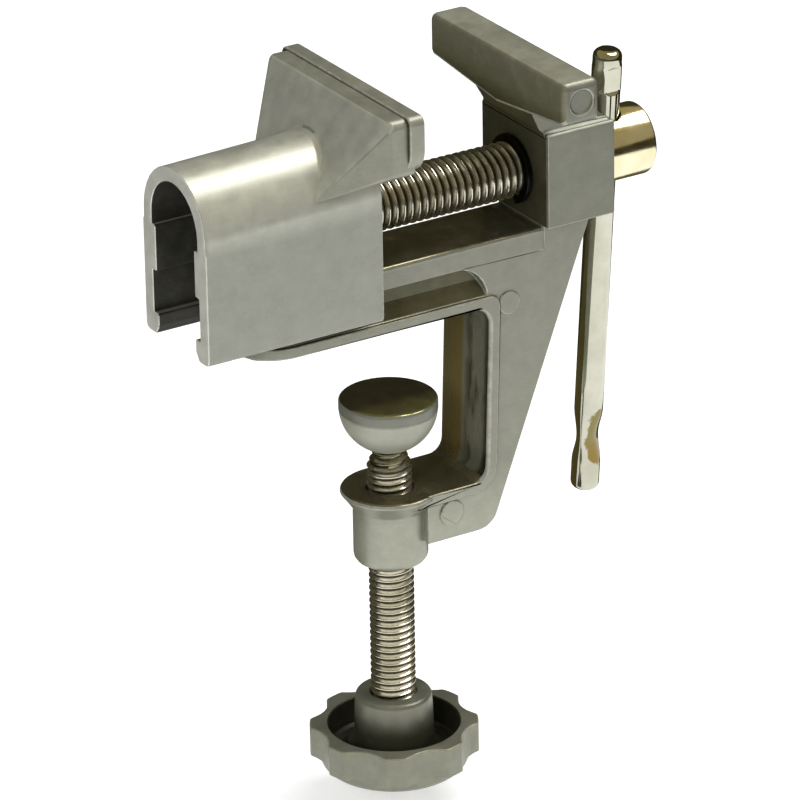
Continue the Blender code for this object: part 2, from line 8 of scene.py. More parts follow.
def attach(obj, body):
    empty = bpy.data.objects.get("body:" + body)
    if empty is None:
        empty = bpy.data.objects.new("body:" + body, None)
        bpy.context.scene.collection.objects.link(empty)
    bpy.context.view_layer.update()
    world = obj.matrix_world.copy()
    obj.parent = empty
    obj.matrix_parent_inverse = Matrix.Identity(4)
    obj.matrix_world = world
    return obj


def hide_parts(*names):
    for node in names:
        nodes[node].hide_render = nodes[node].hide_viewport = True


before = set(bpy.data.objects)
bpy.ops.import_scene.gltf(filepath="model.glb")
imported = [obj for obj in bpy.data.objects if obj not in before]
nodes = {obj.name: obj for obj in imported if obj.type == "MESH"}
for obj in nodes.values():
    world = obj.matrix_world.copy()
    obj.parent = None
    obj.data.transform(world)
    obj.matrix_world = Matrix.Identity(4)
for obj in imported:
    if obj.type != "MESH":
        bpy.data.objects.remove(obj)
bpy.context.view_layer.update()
mm = 0.001
mergeReach = 0.001 * mm
cutReach = 0.0001 * mm
closeReach = 0.002 * mm
print("frame loaded:", len(nodes), "nodes")


# Helpers for working by operators

def pickNothing():
    if bpy.context.object and bpy.context.object.mode != "OBJECT":
        bpy.ops.object.mode_set(mode="OBJECT")
    bpy.ops.object.select_all(action="DESELECT")


def pickOnly(obj):
    pickNothing()
    obj.select_set(True)
    bpy.context.view_layer.objects.active = obj


def editAll(obj):
    pickOnly(obj)
    bpy.ops.object.mode_set(mode="EDIT")
    bpy.ops.mesh.select_all(action="SELECT")


def leaveEdit():
    bpy.ops.object.mode_set(mode="OBJECT")


def addObject(name, data):
    obj = bpy.data.objects.new(name, data)
    bpy.context.scene.collection.objects.link(obj)
    return obj


def addPlane(name, size, place):
    pickNothing()
    bpy.ops.mesh.primitive_plane_add(size=size, location=place)
    bpy.context.object.name = name
    return bpy.context.object


def modify(obj, kind, **settings):
    mod = obj.modifiers.new(kind.lower(), kind)
    for key, value in settings.items():
        setattr(mod, key, value)
    pickOnly(obj)
    bpy.ops.object.modifier_apply(modifier=mod.name)


def applyPlace(obj):
    pickOnly(obj)
    bpy.ops.object.transform_apply(location=True, rotation=True, scale=True)


def setDown(obj, turns, place=(0, 0, 0)):
    # Turns in degrees and place in millimetres, both put into the mesh
    obj.rotation_euler = [math.radians(turn) for turn in turns]
    obj.location = [c * mm for c in place]
    applyPlace(obj)


def sliceAt(obj, x):
    editAll(obj)
    bpy.ops.mesh.bisect(plane_co=(x * mm, 0, 0), plane_no=(1, 0, 0), threshold=cutReach)
    leaveEdit()


def closeUp(obj):
    # Merges doubled points and turns the faces outwards
    editAll(obj)
    bpy.ops.mesh.remove_doubles(threshold=closeReach)
    bpy.ops.mesh.normals_make_consistent(inside=False)
    leaveEdit()


def drawProfile(name, points):
    # One point, extruded from place to place in the XZ plane
    obj = addPlane(name, mm, (0, 0, 0))
    editAll(obj)
    bpy.ops.mesh.merge(type="CENTER")
    r, z = points[0]
    bpy.ops.transform.translate(value=(r * mm, 0, z * mm))
    for (r0, z0), (r1, z1) in zip(points, points[1:]):
        step = ((r1 - r0) * mm, 0, (z1 - z0) * mm)
        bpy.ops.mesh.extrude_region_move(TRANSFORM_OT_translate={"value": step})
    leaveEdit()
    return obj


def turnedShape(name, points, steps):
    # Profile of (radius, height) in millimetres, spun round the Z axis
    obj = drawProfile(name, points)
    editAll(obj)
    bpy.ops.mesh.spin(steps=steps, angle=2 * math.pi, center=(0, 0, 0), axis=(0, 0, 1))
    leaveEdit()
    closeUp(obj)
    return obj


def arcOf(centre, radius, start, end, steps):
    points = []
    for i in range(steps + 1):
        t = math.radians(start + (end - start) * i / steps)
        points.append((centre[0] + radius * math.cos(t), centre[1] + radius * math.sin(t)))
    return points


def combine(kind, target, other):
    modify(target, "BOOLEAN", operation=kind, solver="EXACT", object=other)
    bpy.data.objects.remove(other, do_unlink=True)


def smoothOver(obj, angle):
    pickOnly(obj)
    bpy.ops.object.shade_smooth_by_angle(angle=math.radians(angle))


def dressPiece(obj, mats, body, slotName, *replaced):
    for mat in mats:
        obj.data.materials.append(mat)
    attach(obj, body)
    if replaced:
        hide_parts(*replaced)
    print("piece made:", obj.name, len(obj.data.polygons), "faces")


# Materials

def nodeMaterial(name):
    mat = bpy.data.materials.new(name)
    mat.use_nodes = True
    tree = mat.node_tree
    shader = tree.nodes["Principled BSDF"]
    coords = tree.nodes.new("ShaderNodeTexCoord")
    return mat, tree, shader, coords


def feed(node, inputs):
    # Each input takes a value, or a link from another node's output
    for key, value in inputs.items():
        if isinstance(value, bpy.types.NodeSocket):
            node.id_data.links.new(value, node.inputs[key])
        else:
            node.inputs[key].default_value = value


def addNode(tree, kind, inputs, **settings):
    node = tree.nodes.new("ShaderNode" + kind)
    for key, value in settings.items():
        setattr(node, key, value)
    feed(node, inputs)
    return node


def noiseOf(tree, coords, scale, detail, rough, stretch=(1, 1, 1)):
    mapping = addNode(tree, "Mapping", {"Scale": stretch, "Vector": coords.outputs["Object"]})
    noise = addNode(tree, "TexNoise", {"Scale": scale, "Detail": detail, "Roughness": rough,
                                       "Vector": mapping.outputs["Vector"]})
    return noise.outputs["Fac"]


def rampOf(tree, value, stops):
    ramp = addNode(tree, "ValToRGB", {"Fac": value})
    elements = ramp.color_ramp.elements
    while len(elements) < len(stops):
        elements.new(0.5)
    for element, (place, colour) in zip(elements, stops):
        element.position = place
        element.color = (*colour, 1.0)
    return ramp.outputs["Color"]


def rangeOf(tree, value, low, high, fromLow=0.3, fromHigh=0.7):
    spread = addNode(tree, "MapRange", {"Value": value, "From Min": fromLow, "From Max": fromHigh,
                                        "To Min": low, "To Max": high})
    return spread.outputs["Result"]


def mixOf(tree, factor, first, second, kind="MIX"):
    mix = addNode(tree, "Mix", {"Factor": factor, "A": first, "B": second}, data_type="RGBA", blend_type=kind)
    return mix.outputs["Result"]


def timesOf(tree, first, second):
    return mixOf(tree, 1.0, first, second, "MULTIPLY")


def placeOf(tree, coords, axis, low, high):
    # 0 to 1 along an axis of the piece, between two places in millimetres
    split = addNode(tree, "SeparateXYZ", {0: coords.outputs["Object"]})
    return rangeOf(tree, split.outputs[axis], 0.0, 1.0, low * mm, high * mm)


def reachOf(tree, coords, centre, size):
    # Distance from a place in the piece, 1 at the given size in millimetres along each axis
    mapping = addNode(tree, "Mapping", {"Scale": [1 / (s * mm) if s else 0 for s in size],
                                        "Location": [-c / s if s else 0 for c, s in zip(centre, size)],
                                        "Vector": coords.outputs["Object"]})
    reach = addNode(tree, "VectorMath", {0: mapping.outputs["Vector"]}, operation="LENGTH")
    return reach.outputs["Value"]


def wobbleOf(tree, value, noise, share):
    # Shifts a value to and fro by a noise
    return addNode(tree, "Math", {0: noise, 1: share, 2: value}, operation="MULTIPLY_ADD").outputs[0]


def toned(look, share, **changes):
    # The same look, lighter or darker
    tones = {key: tuple(c * share for c in look[key]) for key in ("dark", "mid", "light")}
    return {**look, **tones, **changes}


def tonesOf(look, places, *keys):
    return [(place, look[key]) for place, key in zip(places, keys)]


def finishShader(tree, shader, colour, gloss, metallic, heights):
    # Each height is (value, strength, distance in millimetres)
    feed(shader, {"Base Color": colour, "Roughness": gloss, "Metallic": metallic})
    normal = None
    for value, strength, distance in heights:
        bump = addNode(tree, "Bump", {"Strength": strength, "Distance": distance * mm, "Height": value})
        if normal:
            feed(bump, {"Normal": normal})
        normal = bump.outputs["Normal"]
    feed(shader, {"Normal": normal})


# Detail and roughness of each noise, where its tones stand, and how deep it goes in millimetres
texture = {
    "blotch": (5.0, 0.6), "grain": (2.0, 0.5), "streak": (3.0, 0.6), "cloud": (4.0, 0.6),
    "scuff": (3.0, 0.6), "ragged": (2.0, 0.5), "drag": (4.0, 0.55), "patch": (3.0, 0.5),
    "castStops": (0.3, 0.5, 0.72), "wornStops": (0.35, 0.75), "grainShare": 0.5,
    "plateStops": (0.3, 0.7), "bruiseStops": (0.35, 0.65), "rootShadeStops": (0.3, 0.8),
    "blotchDepth": 0.12, "grainDepth": 0.03, "scuffDepth": 0.02, "dragDepth": 0.05,
}


def castMetal(name, look):
    mat, tree, shader, coords = nodeMaterial(name)
    blotch = noiseOf(tree, coords, look["blotchScale"], *texture["blotch"])
    grain = noiseOf(tree, coords, look["grainScale"], *texture["grain"])
    streak = noiseOf(tree, coords, look["streakScale"], *texture["streak"], look["streakWay"])
    colour = rampOf(tree, blotch, tonesOf(look, texture["castStops"], "dark", "mid", "light"))
    worn = rampOf(tree, streak, tonesOf(look, texture["wornStops"], "mid", "light"))
    base = mixOf(tree, rangeOf(tree, grain, 0.0, texture["grainShare"]), colour, worn)
    # A fade multiplies the colour along one axis of the piece; the looks use it for painted light and shade
    if "fade" in look:
        axis, low, high, stops = look["fade"]
        place = placeOf(tree, coords, axis, low, high)
        place = wobbleOf(tree, place, streak, look.get("fadeWobble", 0.0))
        base = timesOf(tree, base, rampOf(tree, place, stops))
    finishShader(tree, shader, base, rangeOf(tree, blotch, *look["roughness"]), look["metallic"],
                 [(blotch, look["waves"], texture["blotchDepth"]),
                  (grain, look["grain"], texture["grainDepth"])])
    return mat


def platingOf(tree, coords, look, way=(1, 1, 1)):
    cloud = noiseOf(tree, coords, look["cloudScale"], *texture["cloud"])
    scuff = noiseOf(tree, coords, look["scuffScale"], *texture["scuff"], way)
    plate = rampOf(tree, cloud, tonesOf(look, texture["plateStops"], "dark", "light"))
    gloss = rangeOf(tree, scuff, *look["roughness"])
    return cloud, scuff, plate, gloss, [(scuff, look["scuff"], texture["scuffDepth"])]


def platedMetal(name, look):
    mat, tree, shader, coords = nodeMaterial(name)
    _, _, plate, gloss, heights = platingOf(tree, coords, look, look["scuffWay"])
    finishShader(tree, shader, plate, gloss, 1.0, heights)
    return mat


def bruisedPlate(name, look, centre, size):
    # Plating that went brown where the bar was pinched
    mat, tree, shader, coords = nodeMaterial(name)
    cloud, _, plate, gloss, heights = platingOf(tree, coords, look, look["scuffWay"])
    ragged = noiseOf(tree, coords, look["raggedScale"], *texture["ragged"])
    away = wobbleOf(tree, reachOf(tree, coords, centre, size), ragged, look["bruiseWobble"])
    bruise = rangeOf(tree, away, 1.0, 0.0, *look["bruiseEdge"])
    brown = rampOf(tree, cloud, tonesOf(look, texture["bruiseStops"], "bruiseDark", "bruiseLight"))
    finishShader(tree, shader, mixOf(tree, bruise, plate, brown), gloss, 1.0, heights)
    return mat


def drawnMetal(name, look):
    # Inner side of the leg, dragged along by the die into streaks, with painted reflection and shade: gold at
    # one side, grey and dark at the other, a dark patch on the near half and a darker foot
    mat, tree, shader, coords = nodeMaterial(name)
    streak = noiseOf(tree, coords, look["streakScale"], *texture["drag"], look["streakWay"])
    patch = noiseOf(tree, coords, look["patchScale"], *texture["patch"], look["patchWay"])
    across = wobbleOf(tree, placeOf(tree, coords, 1, *look["across"]), streak, look["wobble"])
    colour = rampOf(tree, across, look["tones"])
    shadow = rampOf(tree, patch, look["patchTones"])
    foot = rampOf(tree, placeOf(tree, coords, 2, *look["foot"]), look["footTones"])
    patched = rangeOf(tree, across, 1.0, 0.0, *look["patchEdge"])
    inner = mixOf(tree, patched, colour, timesOf(tree, colour, shadow))
    finishShader(tree, shader, timesOf(tree, inner, foot), rangeOf(tree, streak, *look["roughness"]),
                 look["metallic"], [(streak, look["waves"], texture["dragDepth"])])
    return mat


def threadSteel(name, look, centre, across, root, crest):
    # Plated steel with painted shade down in the thread's roots, by the distance from the screw's axis
    mat, tree, shader, coords = nodeMaterial(name)
    _, scuff, plate, gloss, heights = platingOf(tree, coords, look)
    crestShare = rangeOf(tree, reachOf(tree, coords, centre, across), 0.0, 1.0, root, crest)
    rootShade = rampOf(tree, scuff, tonesOf(look, texture["rootShadeStops"], "rootShadeDark", "rootShadeLight"))
    glossByDepth = addNode(tree, "Mix", {"Factor": crestShare, "A": look["rootRoughness"], "B": gloss})
    finishShader(tree, shader, mixOf(tree, crestShare, rootShade, plate), glossByDepth.outputs["Result"],
                 look["metallic"], heights)
    return mat


def grey(share):
    return (share,) * 3


castLook = {
    "blotchScale": 260.0, "grainScale": 2600.0, "streakScale": 420.0, "streakWay": (1.0, 1.0, 6.0),
    "dark": (0.235, 0.238, 0.19), "mid": (0.275, 0.279, 0.224), "light": (0.33, 0.334, 0.275),
    "metallic": 0.5, "roughness": (0.32, 0.44), "waves": 0.22, "grain": 0.14,
}
# The frame's colour is lightest at the bottom of the lower arm and darker upwards: painted light and shade
frameLook = toned(castLook, 1.25, fade=(2, -45.0, 30.0, [
    (0.0, grey(1.0)), (0.10, grey(0.95)), (0.2, grey(0.72)), (0.8, grey(0.66)), (1.0, grey(0.60))]))
# A darker copy of the cast colour for the block's near side and the fixed bar's ends: painted shade
shadedSideLook = toned(castLook, 0.70)
# A lighter copy of the cast colour for the fixed jaw's top: painted light
litTopLook = toned(castLook, 1.25, mid=(0.345, 0.34, 0.262))
# Front of the fixed jaw: painted shade, olive-brown at its foot and lighter upwards
shadedFrontLook = toned(castLook, 0.92, mid=(0.24, 0.235, 0.165), fadeWobble=0.12, fade=(2, 33.0, 46.0, [
    (0.0, (0.46, 0.44, 0.32)), (0.24, (0.36, 0.34, 0.20)), (0.5, (0.72, 0.70, 0.58)), (1.0, grey(0.95))]))
# Lighter colour on the rounded outer corners: wear, and a painted highlight
wornLitEdgeLook = dict(castLook, dark=(0.24, 0.243, 0.19), mid=(0.34, 0.343, 0.285), light=(0.50, 0.503, 0.44),
                blotchScale=700.0, metallic=0.45, roughness=(0.38, 0.5))
# A lighter copy of the cast colour for the housing's arch and walls, lightest on the arch and darker down the
# wall: painted highlight
litArchLook = toned(castLook, 1.65, mid=(0.456, 0.461, 0.402), roughness=(0.3, 0.42), fade=(2, 20.0, 30.0, [
    (0.0, grey(0.60)), (0.35, grey(0.62)), (0.8, grey(1.0)), (1.0, grey(1.0))]))
# A lighter, more diffuse copy of the cast colour for the back of the jaw plate and its gussets: painted light
plateLook = toned(castLook, 1.2, metallic=0.25, roughness=(0.36, 0.48))
# Up-facing faces of the beam and lower arm: smoother, with an olive-brown colour that paints the dark
# reflection on them
darkTopLook = dict(castLook, dark=(0.17, 0.155, 0.095), mid=(0.25, 0.23, 0.14), light=(0.38, 0.355, 0.23),
                metallic=0.85, roughness=(0.16, 0.28), waves=0.2, grain=0.05)
# Painted shade for the groove along the beam, the block's front and the ledge between the jaw plate's layers
shadeLook = dict(castLook, dark=(0.05, 0.047, 0.026), mid=(0.08, 0.075, 0.042), light=(0.115, 0.11, 0.066),
                 blotchScale=130.0, metallic=0.6, roughness=(0.26, 0.36), waves=0.1, grain=0.05)
# Inner side of the leg: drag streaks, with painted reflection and shade in its tones
drawnLook = {
    "streakScale": 500.0, "streakWay": (1.0, 1.0, 0.06), "patchScale": 150.0, "patchWay": (1.0, 1.6, 0.55),
    "across": (-7.75, 7.75), "wobble": 0.10, "foot": (-37.0, -27.0),
    "tones": [(0.10, (0.045, 0.042, 0.022)), (0.19, (0.22, 0.22, 0.165)), (0.60, (0.27, 0.27, 0.20)),
              (0.66, (0.25, 0.185, 0.06)), (1.0, (0.20, 0.17, 0.075))],
    "patchTones": [(0.40, (0.28, 0.28, 0.25)), (0.52, grey(1.0))], "patchEdge": (0.45, 0.6),
    "footTones": [(0.0, (0.35, 0.35, 0.25)), (1.0, grey(1.0))],
    "metallic": 0.55, "roughness": (0.22, 0.32), "waves": 0.3,
}
# The open end of the jaw housing: a machined face, painted much brighter as if lit
groundLitLook = dict(castLook, dark=(0.62, 0.62, 0.56), mid=(0.72, 0.72, 0.655), light=(0.82, 0.82, 0.76),
                  metallic=0.5, roughness=(0.36, 0.5), grain=0.2)
# Painted shade for the hollow inside the jaw housing
housingShadeLook = dict(castLook, dark=(0.02, 0.02, 0.015), mid=(0.035, 0.034, 0.026), light=(0.07, 0.068, 0.055),
                metallic=0.4, roughness=(0.5, 0.65))
nickelLook = {
    "cloudScale": 180.0, "scuffScale": 900.0, "scuffWay": (0.3, 1.0, 1.0),
    "dark": (0.60, 0.56, 0.44), "light": (0.70, 0.67, 0.55), "roughness": (0.04, 0.11), "scuff": 0.06,
}
barLook = dict(nickelLook, dark=(0.44, 0.435, 0.35), light=(0.55, 0.545, 0.455), bruiseWobble=0.6,
               raggedScale=540.0, bruiseEdge=(1.24, 1.32),
               bruiseDark=(0.235, 0.165, 0.05), bruiseLight=(0.215, 0.20, 0.095))
# The head's plating is tinted gold, partly a painted gold reflection
headLook = dict(nickelLook, dark=(0.71, 0.64, 0.42), light=(0.84, 0.78, 0.56), roughness=(0.12, 0.20))
# Plating of the threads, with painted shade down in the roots
threadLook = dict(nickelLook, dark=(0.56, 0.53, 0.42), light=(0.80, 0.77, 0.67), roughness=(0.12, 0.26),
                  rootShadeDark=(0.04, 0.034, 0.02), rootShadeLight=(0.1, 0.085, 0.05), rootRoughness=0.5,
                  metallic=0.95)
padLook = dict(castLook, dark=(0.24, 0.245, 0.195), mid=(0.275, 0.28, 0.228), light=(0.32, 0.325, 0.27),
               metallic=0.6, roughness=(0.32, 0.42), waves=0.15, grain=0.08)
# The cup lighter and the face disc darker, copies of one pad colour: painted light and shade
bowlLook = toned(padLook, 1.22, metallic=0.15, roughness=(0.36, 0.46))
discLook = toned(padLook, 0.65, metallic=0.3)
# Top of the pad: olive-brown painted reflection, painted lighter towards its near side
padTopLitShadeLook = dict(padLook, dark=(0.10, 0.088, 0.055), mid=(0.15, 0.135, 0.08), light=(0.21, 0.19, 0.115),
                  metallic=0.85, roughness=(0.16, 0.24), fadeWobble=0.06, fade=(1, -8.0, 8.0, [
                      (0.0, (3.0, 3.15, 2.4)), (0.26, (2.2, 2.3, 1.7)),
                      (0.46, grey(1.05)), (1.0, grey(0.95))]))
knobLook = dict(castLook, dark=(0.19, 0.19, 0.145), mid=(0.225, 0.227, 0.175), light=(0.28, 0.28, 0.22),
                metallic=0.55, roughness=(0.3, 0.42), waves=0.2, grain=0.08)
# Painted shade for the knob's recess round the hub
knobRecessShadeLook = dict(knobLook, dark=(0.035, 0.034, 0.02), mid=(0.055, 0.054, 0.035), light=(0.09, 0.088, 0.06))
# The hub, with painted shade that deepens downwards
hubLook = toned(knobLook, 1.0, fade=(2, -84.0, -73.0, [
    (0.0, (0.14, 0.14, 0.10)), (0.45, (0.30, 0.30, 0.24)), (0.75, grey(0.75)), (1.0, grey(0.95))]))
# A lighter copy for the rim's top outer edge: a painted highlight, standing for a worn line
knobLitEdgeLook = toned(knobLook, 1.5, mid=(0.33, 0.32, 0.22))
blackLook = {
    "cloudScale": 300.0, "scuffScale": 900.0, "scuffWay": (1.0, 1.0, 1.0),
    "dark": (0.012, 0.012, 0.011), "light": (0.03, 0.03, 0.028), "roughness": (0.3, 0.5), "scuff": 0.1,
}

castGrey = castMetal("castAluminium", castLook)
castFrame = castMetal("frameAluminium", frameLook)
castShadedSide = castMetal("shadedCastFace", shadedSideLook)
castLitTop = castMetal("litCastTop", litTopLook)
castShadedFront = castMetal("shadedJawFront", shadedFrontLook)
castPlate = castMetal("jawPlateFace", plateLook)
castDarkTop = castMetal("smoothDarkTop", darkTopLook)
castGroundLit = castMetal("groundLitEnd", groundLitLook)
castHousingShade = castMetal("housingHollowShade", housingShadeLook)
castLitArch = castMetal("paintedLitArch", litArchLook)
castShade = castMetal("paintedShade", shadeLook)
castDrawnShaded = drawnMetal("drawnLegShaded", drawnLook)
castWornLitEdge = castMetal("wornLitEdge", wornLitEdgeLook)
headPlate = platedMetal("headPlate", headLook)
padBowl = castMetal("padBowlGrey", bowlLook)
padDisc = castMetal("padDiscGrey", discLook)
padTopLitShade = castMetal("padTopLitAndShaded", padTopLitShadeLook)
knobGrey = castMetal("knobGrey", knobLook)
knobRecessShade = castMetal("knobRecessShade", knobRecessShadeLook)
knobHub = castMetal("knobHub", hubLook)
knobLitEdge = castMetal("knobLitWornEdge", knobLitEdgeLook)
springBlack = platedMetal("blackenedSpringSteel", blackLook)
print("materials made")


# Castings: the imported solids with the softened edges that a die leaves

casting = {
    "edge": 0.28, "widest": 1.1, "segments": 3, "flatAngle": 0.05, "edgeAngle": 32, "smoothAngle": 38,
    "onPlane": 0.02, "samePlace": 0.01, "grey": 0, "worn": 1, "overEdges": (2, 3),
}


def copyNode(nodeName, name):
    mesh = nodes[nodeName].data.copy()
    obj = addObject(name, mesh)
    mesh.materials.clear()
    editAll(obj)
    bpy.ops.mesh.customdata_custom_splitnormals_clear()
    bpy.ops.mesh.remove_doubles(threshold=mergeReach)
    leaveEdit()
    return obj


def levelSides(obj, half, newHalf, wanted):
    # Moves the points of a side wall that stand at one width out or in to another
    for v in obj.data.vertices:
        if abs(abs(v.co.y) - half * mm) < casting["onPlane"] * mm and wanted(v.co / mm):
            v.co.y = math.copysign(newHalf * mm, v.co.y)
    closeUp(obj)


def roundEdges(obj, side, widthOf, finish):
    # One sweep over the outer corners, or over the inner ones
    form = bmesh.new()
    form.from_mesh(obj.data)
    layers = form.edges.layers.float
    weight = layers.get("bevel_weight_edge") or layers.new("bevel_weight_edge")
    for edge in form.edges:
        turn = math.degrees(edge.calc_face_angle_signed(0)) * side
        edge[weight] = 0
        if turn > casting["edgeAngle"]:
            middle = (edge.verts[0].co + edge.verts[1].co) / 2 / mm
            edge[weight] = widthOf(edge, middle, side) / casting["widest"]
    form.to_mesh(obj.data)
    form.free()
    modify(obj, "BEVEL", width=casting["widest"] * mm, segments=casting["segments"], limit_method="WEIGHT",
           use_clamp_overlap=False, material=finish)


def softenCasting(obj, widthOf, mats, reshape=None):
    # Rounds each edge by its own width, and keeps the large faces flat
    for mat in mats:
        obj.data.materials.append(mat)
    editAll(obj)
    bpy.ops.mesh.dissolve_limited(angle_limit=math.radians(casting["flatAngle"]))
    leaveEdit()
    roundEdges(obj, -1, widthOf, -1)
    roundEdges(obj, 1, widthOf, casting["worn"] if len(mats) > 1 else -1)
    if reshape:
        reshape(obj)
    smoothOver(obj, casting["smoothAngle"])
    modify(obj, "WEIGHTED_NORMAL", keep_sharp=True)


def within(value, ends):
    return ends[0] < value < ends[1]


def reachFrom(spot, place):
    return math.hypot(spot.x - place[0], spot.z - place[1])


def standsAt(edge, x):
    return all(abs(v.co.x / mm - x) < casting["samePlace"] for v in edge.verts)


def finishFaces(obj, finish, kept=None):
    # Gives each face its finish, apart from worn and lit edges outside the faces painted dark, painted shade
    # and the open end painted bright
    for face in obj.data.polygons:
        wanted = finish(face.center / mm, face.normal)
        if face.material_index != kept or wanted in casting["overEdges"]:
            face.material_index = wanted


# Frame, with its finishes by number, its places in millimetres and how far a face has to be turned

frameForm = {
    "darkTop": 2, "shade": 3, "drawn": 4, "shadedSide": 5, "top": 6, "olive": 7,
    "level": 0.8, "facing": 0.7, "sloped": 0.5, "endOn": 0.97, "sideways": 0.3,
    "railHalf": 7.4, "webHalf": 7.3, "rimHalf": 7.75, "rimRound": 0.6, "opening": (3.0, 0.0, -16.0),
    "marks": ((20.3, -0.1), (8.1, -37.1)), "markHalf": 7.2, "markReach": 2.6, "markEdge": 0.3,
    "dimple": (26.4, 40.3), "dimpleReach": 2.5, "dimpleEdge": 0.36,
    "tangle": ((2.5, 9.5), (5.6, 8.9), (-40.6, -36.2)), "tangleEdge": 0.06,
    "barEnd": 21.0, "barSide": 20.5, "barFront": 22.7, "barFoot": 37.2, "jawTop": 40.0,
    "blockTop": 30.5, "blockTopReach": 0.3, "neckHalf": 9.6, "neckFillet": 0.7,
    "blockHalf": 10.6, "blockFront": (26.0, 26.8), "blockLeft": 26.2, "blockSide": (8.0, 30.8),
    "darkTopBelow": 16.0, "grooveEnd": 10.0, "grooveHalf": 7.25, "groove": (2.3, 8.6),
    "legFront": 5.0, "leg": (-36.5, -0.5),
    "noseStart": -22.0, "noseLength": 8.6, "nosePower": 2.2, "noseSteps": 13, "noseStep": 0.61,
    "noseFoot": -27.0, "noseFootBand": (2.15, 3.5),
}


def frameEdge(edge, middle, side):
    # Rounder at the fixed jaw's foot and along the rim's inner edge than elsewhere
    f = frameForm
    if all(within(v, ends) for v, ends in zip((middle.x, abs(middle.y), middle.z), f["tangle"])):
        return f["tangleEdge"]
    if abs(middle.y) > f["barEnd"] and reachFrom(middle, f["dimple"]) < f["dimpleReach"]:
        return f["dimpleEdge"]
    marked = any(reachFrom(middle, mark) < f["markReach"] for mark in f["marks"])
    if marked and abs(middle.y) > f["markHalf"]:
        return f["markEdge"] if side > 0 else f["tangleEdge"]
    if side > 0:
        if middle.x < f["noseFoot"] and within(middle.z, f["noseFootBand"]):
            return 0
        if standsAt(edge, f["barFront"]) and middle.z < f["barFoot"]:
            return casting["widest"]
        if abs(abs(middle.y) - f["rimHalf"]) < casting["samePlace"]:
            way = Vector(f["opening"]) - middle
            inward = [face.normal for face in edge.link_faces if face.normal.dot(way) > 0]
            if any(abs(normal.y) < f["sideways"] for normal in inward):
                return f["rimRound"]
    elif abs(middle.z - f["blockTop"]) < f["blockTopReach"] and abs(middle.y) < f["neckHalf"]:
        return f["neckFillet"]
    return casting["edge"]


def frameFinish(spot, normal):
    # Painted dark reflection on the lower tops, painted shade in the groove and on the block's front, the
    # drawn leg with painted reflection and shade, painted shade on the block's near side and the bar's ends,
    # painted light on the fixed jaw's top and painted shade on the jaw's olive front
    f = frameForm
    up = normal.z > f["level"]
    front = normal.x < -f["facing"]
    if up and spot.z < f["darkTopBelow"]:
        return f["darkTop"]
    grooved = spot.x < f["grooveEnd"] and abs(spot.y) < f["grooveHalf"] and within(spot.z, f["groove"])
    if grooved and normal.x > -f["endOn"]:
        return f["shade"]
    if front and within(spot.x, f["blockFront"]) and abs(spot.y) < f["blockHalf"]:
        return f["shade"]
    if front and spot.x > f["legFront"] and within(spot.z, f["leg"]):
        return f["drawn"]
    if spot.x > f["blockLeft"] and normal.y < -f["level"] and within(spot.z, f["blockSide"]):
        return f["shadedSide"]
    if abs(normal.y) > f["level"] and abs(spot.y) > f["barSide"]:
        return f["shadedSide"]
    if up and spot.z > f["jawTop"]:
        return f["top"]
    if normal.x < -f["sloped"] and spot.z > f["blockTop"]:
        return f["olive"]
    return casting["grey"]


def roundBeamEnd(obj):
    # The beam's free end draws in to a long round nose, seen from above
    start, step = frameForm["noseStart"], frameForm["noseStep"]
    for i in range(frameForm["noseSteps"]):
        sliceAt(obj, start - i * step)
    for v in obj.data.vertices:
        share = (start - v.co.x / mm) / frameForm["noseLength"]
        if share > 0:
            v.co.y *= math.sqrt(max(0.0, 1 - share ** frameForm["nosePower"]))
    closeUp(obj)


frameCasting = copyNode("frame_casting", "frameCasting")
levelSides(frameCasting, frameForm["railHalf"], frameForm["webHalf"], lambda spot: True)
softenCasting(frameCasting, frameEdge, [castFrame, castWornLitEdge, castDarkTop, castShade, castDrawnShaded, castShadedSide,
                                        castLitTop, castShadedFront], roundBeamEnd)
finishFaces(frameCasting, frameFinish, casting["worn"])
dressPiece(frameCasting, [], "frame", "cast_metal", "frame_casting")


# Moving jaw, in the same way

jawForm = {
    "groundLit": 2, "housingShade": 3, "arch": 4, "plate": 5, "seam": 6,
    "facing": 0.7, "sloped": 0.3, "gussetTurn": (0.03, 0.6),
    "housingEnd": -41.0, "housingRight": -7.0, "hollowHalf": 9.0, "hollowTop": 33.5,
    "notchEnd": -40.6, "wallLeft": -40.7, "wallBand": (23.9, 27.2), "wallHalf": 10.65, "wallTop": 26.6,
    "archHalf": 10.3, "archReach": 11.0, "plateLeft": -12.0,
    "seamAt": -7.4, "seamBand": (-7.7, -7.1), "seamFillet": 0.1,
    "foot": (-21.5, -13.0), "footHalf": 9.0, "footTop": 31.6,
    "fillet": (0.25, 0.9), "filletSpan": (31.0, 35.0),
}


def jawEdge(edge, middle, side):
    # Fillet between arch and plate, which dies out at the gussets' feet
    j = jawForm
    if side > 0:
        return casting["edge"]
    if middle.z > j["hollowTop"] and standsAt(edge, j["seamAt"]):
        return j["seamFillet"]
    if within(middle.x, j["foot"]) and abs(middle.y) > j["footHalf"] and middle.z < j["footTop"]:
        return 0
    low, high = j["fillet"]
    start, end = j["filletSpan"]
    if middle.x > j["foot"][0] and middle.z > start and abs(middle.y) < j["archHalf"]:
        return low + (high - low) * min(1, (middle.z - start) / (end - start))
    return low


